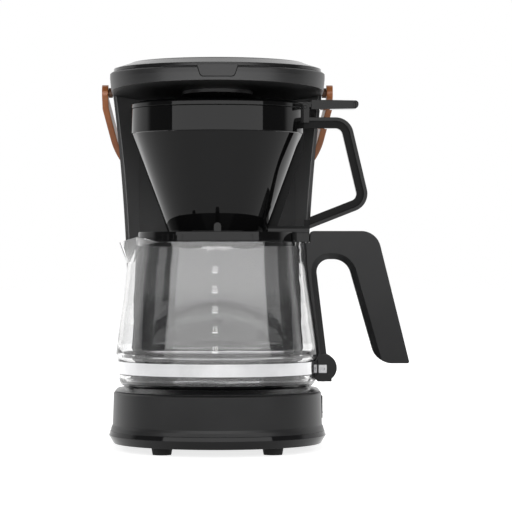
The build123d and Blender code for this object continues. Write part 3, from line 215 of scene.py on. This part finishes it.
def gloss_with_painted_shade(name, colour, roughness, low, high):
    """Polished plastic whose upright sides between two corners of a box get painted shade: a dull, dark
    shader that stands in for the shade in those hollows.
    """
    material, flow = blank(name)
    haze = gloss_haze(flow)
    _, facing, _ = split(flow, flow.node("TexCoord", out="Normal"))
    painted_shade_mask = facing.maths("ABSOLUTE", facing).between(0.85, 0.95)
    for spot, least, most in zip(split(flow, place(flow)), low, high):
        painted_shade_mask = painted_shade_mask * spot.between(least, least + HOLLOW_EDGE)
        painted_shade_mask = painted_shade_mask * spot.between(most - HOLLOW_EDGE, most, 1.0, 0.0)
    # Painted shade: a dark shader that hardly reflects
    painted_shade = flow.node("BsdfPrincipled", None, {
        "Base Color": haze.mix(grey(0.003), colour), "Roughness": 0.55, "Specular IOR Level": 0.1})
    return close(material, flow.node("MixShader", None, {
        0: painted_shade_mask, 1: polish(flow, colour, haze, roughness), 2: painted_shade}))


LINE_H = 0.12 * MM
LINE_DEPTH = 0.004 * MM
LINE_STRETCH = (6.0, 6.0, 1.0 / LINE_H)


def turned_metal(name, colour, roughness):
    """Metal with fine lines that run round the upright axis."""
    material, flow = blank(name)
    drawn_out = flow.node("Mapping", None, {"Vector": place(flow), "Scale": LINE_STRETCH})
    lines = noise(flow, 1.0, 3.0, drawn_out)
    stain = noise(flow, 18 * MM, 3.0)
    shader = flow.node("BsdfPrincipled", None, {
        "Base Color": stain.between(0.35, 0.75).mix(colour, tinted(colour, 0.9)),
        "Metallic": 1.0, "Roughness": (lines - 0.5) * 0.08 + roughness,
        "Normal": relief(flow, lines, LINE_DEPTH, soft_edge(flow, 0.25 * MM))})
    return close(material, shader)


def cast_metal(name, colour, roughness, grain, depth):
    """Cast or plated metal: fine pits and patches of tarnish."""
    material, flow = blank(name)
    pits = noise(flow, grain, 3.0)
    tarnish = noise(flow, 14 * MM, 3.0)
    shader = flow.node("BsdfPrincipled", None, {
        "Base Color": tarnish.between(0.35, 0.7).mix(colour, tinted(colour, 0.8)),
        "Metallic": 1.0, "Roughness": (pits - 0.5) * 0.15 + roughness,
        "Normal": relief(flow, pits, depth, soft_edge(flow, 0.3 * MM))})
    return close(material, shader)


def clear_glass(name):
    """Clear glass, a little wavy from being drawn, that lets light through to what is behind it."""
    material, flow = blank(name)
    draw = noise(flow, 60 * MM, 1.0)
    glass = flow.node("BsdfPrincipled", None, {
        "Base Color": grey(1.0), "Roughness": 0.0, "IOR": 1.47, "Transmission Weight": 1.0,
        "Normal": relief(flow, draw, 0.02 * MM)})
    through = flow.node("BsdfTransparent", None, {"Color": grey(0.96)})
    shadow = flow.node("LightPath", out="Is Shadow Ray")
    both = flow.node("MixShader", None, {0: shadow, 1: glass, 2: through})
    return close(material, both)


CREASE_SIZE = MM / 0.7


def strap_hide(name):
    """Waxed tan hide: cloudy dye, fine pores and creases, well rounded edges."""
    material, flow = blank(name)
    cloud = noise(flow, 22 * MM, 4.0)
    pores = noise(flow, 0.45 * MM, 3.0)
    creases = flow.node("TexVoronoi", {"feature": "DISTANCE_TO_EDGE"}, {
        "Vector": place(flow), "Scale": 1.0 / CREASE_SIZE})
    skin = creases.between(0.0, 0.12) + pores * 0.4
    tone = cloud.between(0.25, 0.75).mix(rgb(0.34, 0.095, 0.018), rgb(0.47, 0.150, 0.032))
    shader = flow.node("BsdfPrincipled", None, {
        "Base Color": tone, "Roughness": (pores - 0.5) * 0.15 + 0.36, "Coat Weight": 0.15,
        "Normal": relief(flow, skin, 0.02 * MM, soft_edge(flow, 1.6 * MM))})
    return close(material, shader)


# A wave texture of scale 1 repeats after this many metres
WAVE_PITCH = 0.314


def threads(flow, way, pitch):
    """Threads side by side at this pitch."""
    return flow.node("TexWave", {"wave_type": "BANDS", "bands_direction": way}, {
        "Vector": place(flow), "Scale": WAVE_PITCH / pitch})


def woven(name, colour, pitch):
    """Woven or meshed threads, with painted shade in the gaps between them."""
    material, flow = blank(name)
    upright = threads(flow, "Z", pitch)
    weave = upright.maths("MAXIMUM", upright, threads(flow, "DIAGONAL", pitch))
    # Painted shade: the gaps between the threads are coloured darker
    shader = flow.node("BsdfPrincipled", None, {
        "Base Color": weave.mix(tinted(colour, 0.4), colour), "Roughness": 0.6,
        "Normal": relief(flow, weave, 0.1 * MM)})
    return close(material, shader)


def ink(name):
    """White print, slightly worn."""
    material, flow = blank(name)
    worn = noise(flow, 0.6 * MM, 2.0)
    shader = flow.node("BsdfPrincipled", None, {
        "Base Color": worn.between(0.2, 0.5).mix(grey(0.94), grey(1.0)), "Roughness": 0.5})
    return close(material, shader)


CHARCOAL = rgb(0.018, 0.018, 0.0185)
JET = rgb(0.0045, 0.0045, 0.0047)
JET_ROUGH = 0.035
SATIN = {"colour": CHARCOAL, "roughness": 0.35, "grain": 0.45 * MM, "depth": 0.012 * MM}
FINISHES = {
    "body_satin": moulded("charcoal_satin", **SATIN),
    "head_black": moulded("head_underside", rgb(0.012, 0.012, 0.0125), 0.36, 0.5 * MM, 0.01 * MM),
    "foot_rubber": moulded("foot_rubber", grey(0.012), 0.75, 0.6 * MM, 0.03 * MM),
    "screw_steel": cast_metal("plated_steel", rgb(0.55, 0.55, 0.56), 0.30, 0.4 * MM, 0.01 * MM),
    "hot_plate_coat": moulded("hot_plate_coat", rgb(0.008, 0.008, 0.0085), 0.22, 4 * MM, 0.001 * MM,
                              specular=0.25),
    "seal_silicone": moulded("silicone", rgb(0.55, 0.55, 0.53), 0.55, 0.8 * MM, 0.01 * MM),
    "heater_aluminium": cast_metal("cast_aluminium", rgb(0.72, 0.72, 0.73), 0.48, 0.7 * MM, 0.03 * MM),
    "clamp_steel": cast_metal("spring_steel", rgb(0.50, 0.50, 0.51), 0.35, 0.5 * MM, 0.01 * MM),
    "control_parts": cast_metal("control_can", rgb(0.58, 0.56, 0.52), 0.34, 0.5 * MM, 0.01 * MM),
    "terminal_plastic": moulded("terminal_nylon", rgb(0.74, 0.73, 0.68), 0.5, 0.6 * MM, 0.01 * MM),
    "lead_sheath": woven("lead_sleeve", rgb(0.74, 0.73, 0.70), 0.9 * MM),
    "gland_rubber": moulded("gland_rubber", grey(0.014), 0.7, 0.6 * MM, 0.02 * MM),
    "switch_frame": moulded("switch_frame", rgb(0.014, 0.014, 0.015), 0.42, 0.4 * MM, 0.01 * MM),
    "switch_rocker": glossy("rocker_gloss", rgb(0.010, 0.010, 0.0105), 0.18),
    "tank_plastic": moulded("tank_polypropylene", rgb(0.66, 0.67, 0.67), 0.45, 0.9 * MM, 0.01 * MM),
    "bail_tan": strap_hide("tan_strap"),
    "bail_pivot": moulded("pivot_plastic", rgb(0.10, 0.045, 0.022), 0.42, 0.5 * MM, 0.012 * MM),
    "carafe_glass": clear_glass("carafe_glass"),
    "band_steel": turned_metal("band_steel", rgb(0.66, 0.66, 0.67), 0.12),
    "grip_black": moulded("grip_black", rgb(0.015, 0.015, 0.0155), 0.44, 0.5 * MM, 0.014 * MM,
                          edge=0.6 * MM, specular=0.18),
    "dripper_gloss": glossy("dripper_gloss", JET, JET_ROUGH),
    "filter_nylon": woven("filter_nylon", rgb(0.30, 0.25, 0.20), 0.5 * MM),
}

# Nodes whose finish differs from the rest of their slot: a real sheen on the plinth, lid and hinge
# cover, painted light on the tower's pocket and column front, painted shade on the loop's web and the
# cone's rib.
# A pocket is a radius, a height and a colour of painted light, and sides are two corners of a box
# Painted light: the tower's pocket is coloured light grey, standing in for fill light falling into it
SHELL_POCKET_PAINTED_LIGHT = (86.4 * MM, 0.0, rgb(0.125, 0.125, 0.126))
# Painted light: the column front is coloured lighter from 130 mm up, standing in for the front panel's
# reflection
FRONT_PANEL_PAINTED_LIGHT = (88.0 * MM, 130 * MM, rgb(0.115, 0.115, 0.116))
# Painted shade on the dripper loop's recessed web and on the cone's rib, between these corners
LOOP_WEB = 5.2 * MM
LOOP_SIDES = ((0.0, -LOOP_WEB, 0.0), (200 * MM, LOOP_WEB, 300 * MM))
RIB_SIDES = ((38 * MM, -20 * MM, 174 * MM), (200 * MM, 20 * MM, 248 * MM))
LID_SHEEN = moulded("lid_sheen", rgb(0.016, 0.016, 0.0165), 0.16, 0.5 * MM, 0.003 * MM)
SHEEN_AND_PAINTED_LIGHT = {
    "tower_shell": moulded("tower_satin_painted_light", **SATIN, painted_light_zone=SHELL_POCKET_PAINTED_LIGHT),
    "tower_front": moulded("column_sheen_painted_light", rgb(0.035, 0.035, 0.036), 0.14, 0.5 * MM, 0.0003 * MM,
                           specular=0.35, painted_light_zone=FRONT_PANEL_PAINTED_LIGHT),
    "base_plate": glossy("plinth_sheen", rgb(0.009, 0.009, 0.0095), 0.06),
    "lid": LID_SHEEN,
    "hinge_cover": LID_SHEEN,
    "dripper_handle": gloss_with_painted_shade("loop_gloss_painted_shade", JET, JET_ROUGH, *LOOP_SIDES),
    "dripper_cone": gloss_with_painted_shade("cone_gloss_painted_shade", JET, JET_ROUGH, *RIB_SIDES),
}
PRINT = ink("scale_print")

for part in frame["record"]["subparts"]:
    solid = nodes[part["node"]]
    solid.data.materials.clear()
    solid.data.materials.append(FINISHES[part["material_slot"]])
for label, finish in SHEEN_AND_PAINTED_LIGHT.items():
    nodes[label].data.materials[0] = finish


def alone():
    """Nothing selected, object mode."""
    if bpy.context.object and bpy.context.object.mode != "OBJECT":
        bpy.ops.object.mode_set(mode="OBJECT")
    bpy.ops.object.select_all(action="DESELECT")


def apply_place():
    """Moves the selected piece's place, turn and scale into its mesh."""
    bpy.ops.object.transform_apply(location=True, rotation=True, scale=True)


def settle(piece, body, finish):
    """The finished piece: its place in its mesh, one finish, riding on its body."""
    alone()
    piece.select_set(True)
    bpy.context.view_layer.objects.active = piece
    apply_place()
    piece.data.materials.clear()
    piece.data.materials.append(finish)
    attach(piece, body)


# Carafe graduation: a number over a bar, printed on the front of the glass, with the bars' heights in mm
MARKS = {"30": 139.9, "25": 124.7, "20": 109.5, "15": 94.3, "10": 79.2}
MARK_X = -2.0 * MM
DRAWN_Y = -0.1
UPRIGHT = (math.pi / 2, 0, 0)
BAR_W = 4.5 * MM
BAR_H = 1.0 * MM
BAR_CUTS = 3
DIGIT_H = 3.6 * MM
DIGIT_W = 0.88
DIGIT_GAP = 0.8 * MM
DIGIT_SHARE = 0.69
INK_T = 0.05 * MM
INK_LIFT = 0.04 * MM
AHEAD = -1.0


def lay_on(piece, ground, lift):
    """Moves a print's points straight back onto the front of the ground piece."""
    for point in piece.data.vertices:
        hit, spot, _, _ = ground.ray_cast(Vector((point.co.x, AHEAD, point.co.z)), Vector((0, 1, 0)))
        if hit:
            point.co.y = spot.y - lift


def draw_number(label, foot):
    """The number's flat mesh, standing on foot in front of the carafe."""
    bpy.ops.object.text_add(location=(MARK_X, DRAWN_Y, foot), rotation=UPRIGHT)
    number = bpy.context.object
    number.data.body = label
    number.data.align_x = "CENTER"
    number.data.size = DIGIT_H / DIGIT_SHARE
    number.scale.x = DIGIT_W
    bpy.ops.object.convert(target="MESH")
    apply_place()
    return number


def draw_bar(middle):
    """The bar's flat mesh, with enough cuts to follow the glass."""
    bpy.ops.mesh.primitive_plane_add(size=1, location=(MARK_X, DRAWN_Y, middle), rotation=UPRIGHT)
    bar = bpy.context.object
    bar.scale = (BAR_W, BAR_H, 1)
    apply_place()
    bpy.ops.object.mode_set(mode="EDIT")
    bpy.ops.mesh.select_all(action="SELECT")
    bpy.ops.mesh.subdivide(number_cuts=BAR_CUTS)
    bpy.ops.object.mode_set(mode="OBJECT")
    return bar


def graduation(label, middle):
    """One number and its bar as one print on the glass."""
    alone()
    number = draw_number(label, middle + BAR_H / 2 + DIGIT_GAP)
    bar = draw_bar(middle)
    alone()
    number.select_set(True)
    bar.select_set(True)
    bpy.context.view_layer.objects.active = number
    bpy.ops.object.join()
    number.name = "graduation_" + label
    lay_on(number, nodes["carafe_glass"], INK_LIFT)
    skin = number.modifiers.new("skin", "SOLIDIFY")
    skin.thickness = INK_T
    skin.offset = 1.0
    bpy.ops.object.modifier_apply(modifier=skin.name)
    settle(number, "carafe", PRINT)


for label, height in MARKS.items():
    graduation(label, height * MM)


# Camera: level, straight in front of the machine and turned a little to the right
EYE = Vector((0.0, -1.960, 0.1525))
PAN = math.radians(0.89)
LENS_MM = 174.4
SENSOR_MM = 36.0
camera_data = bpy.data.cameras.new("camera")
camera_data.lens = LENS_MM
camera_data.sensor_width = SENSOR_MM
camera = bpy.data.objects.new("camera", camera_data)
camera.location = EYE
camera.rotation_euler = (math.pi / 2, 0, -PAN)
scene.collection.objects.link(camera)
scene.camera = camera


# Studio
def ray_kinds(flow):
    """Two masks: rays that see the background directly or through glass, and rays that mirror it."""
    rays = {name: flow.node("LightPath", out=name) for name in (
        "Is Camera Ray", "Is Glossy Ray", "Is Transmission Ray", "Glossy Depth", "Diffuse Depth")}
    refracted = rays["Is Transmission Ray"]
    bounced = flow.maths("GREATER_THAN", rays["Glossy Depth"], 0.5)
    lit = flow.maths("GREATER_THAN", rays["Diffuse Depth"], 0.5)
    plain = refracted * (1.0 - bounced) * (1.0 - lit)
    plain = flow.maths("MAXIMUM", plain, rays["Is Camera Ray"])
    mirrored = flow.maths("MAXIMUM", refracted * bounced, rays["Is Glossy Ray"])
    return plain, mirrored


def softbox(name, centre, aim, width, height, radiance):
    """Area light of even brightness; radiance 1 shows white in a mirror."""
    lamp = bpy.data.lights.new(name, "AREA")
    lamp.shape = "RECTANGLE"
    lamp.size = width
    lamp.size_y = height
    lamp.energy = radiance * math.pi * width * height
    box = bpy.data.objects.new(name, lamp)
    box.location = centre
    box.rotation_euler = (Vector(aim) - Vector(centre)).to_track_quat("-Z", "Y").to_euler()
    box.visible_camera = False
    scene.collection.objects.link(box)
    return box


def fill(name, centre, aim, width, height, radiance):
    """Softbox that lights surfaces without showing in them."""
    box = softbox(name, centre, aim, width, height, radiance)
    box.visible_glossy = False
    box.visible_transmission = False


# One panel in front, which glossy surfaces show and dull ones are not lit by, and soft fills from the
# front and from behind
PANEL_Y = -0.33
PANEL_LOW = 0.115
PANEL_HIGH = 0.40
PANEL_MID = (PANEL_LOW + PANEL_HIGH) / 2
MID_HEIGHT = 0.16
panel = softbox("front_box", centre=(0, PANEL_Y, PANEL_MID), aim=(0, 0, PANEL_MID),
                width=1.11, height=PANEL_HIGH - PANEL_LOW, radiance=2.9)
panel.visible_diffuse = False
fill("camera_fill", centre=(0, -1.9, 0.28), aim=(0, 0, MID_HEIGHT), width=1.4, height=0.8, radiance=4.5)
for side in (-1, 1):
    fill("back_fill", centre=(1.5 * side, 1.5, 0.8), aim=(0, 0.05, MID_HEIGHT),
         width=1.2, height=1.0, radiance=4.0)

# Surround: white to the camera and through glass. In reflections it is white behind the machine
# and a dim room in front of it
FILL = 0.48
ROOM = 0.12
WHITE = 1.0
BACK_FROM = 0.15
BACK_FULL = 0.35
world = bpy.data.worlds.new("studio")
world.use_nodes = True
world.node_tree.nodes.clear()
sky = Flow(world.node_tree)
_, behind, _ = split(sky, sky.node("TexCoord", out="Generated"))
plain, mirrored = ray_kinds(sky)
surround = ROOM + behind.between(BACK_FROM, BACK_FULL, 0.0, WHITE - ROOM)
level = FILL + mirrored * (surround - FILL)
level = level + plain * (WHITE - level)
back = sky.node("Background", None, {"Color": grey(1.0), "Strength": level})
sky.node("OutputWorld", None, {"Surface": back})
scene.world = world

# Floor: pale paint that keeps the shadow, and glows to white where it is seen or mirrored
FLOOR_SIZE = 14.0
FLOOR_Y = 2.0
FLOOR_GLOW = 0.78
FLOOR_PATCH = 0.5
alone()
bpy.ops.mesh.primitive_plane_add(size=FLOOR_SIZE, location=(0, FLOOR_Y, 0))
floor = bpy.context.object
floor.name = "floor"
floor_paint, flow = blank("floor_paint")
floor_paint.cycles.emission_sampling = "NONE"
shade = flow.node("BsdfDiffuse", None, {"Color": noise(flow, FLOOR_PATCH).mix(grey(0.62), grey(0.66))})
glow = flow.node("Emission", None, {"Strength": FLOOR_GLOW})
bright = flow.node("AddShader", None, {0: shade, 1: glow})
seen = flow.maths("MAXIMUM", *ray_kinds(flow))
painted = flow.node("MixShader", None, {0: seen, 1: shade, 2: bright})
floor.data.materials.append(close(floor_paint, painted))
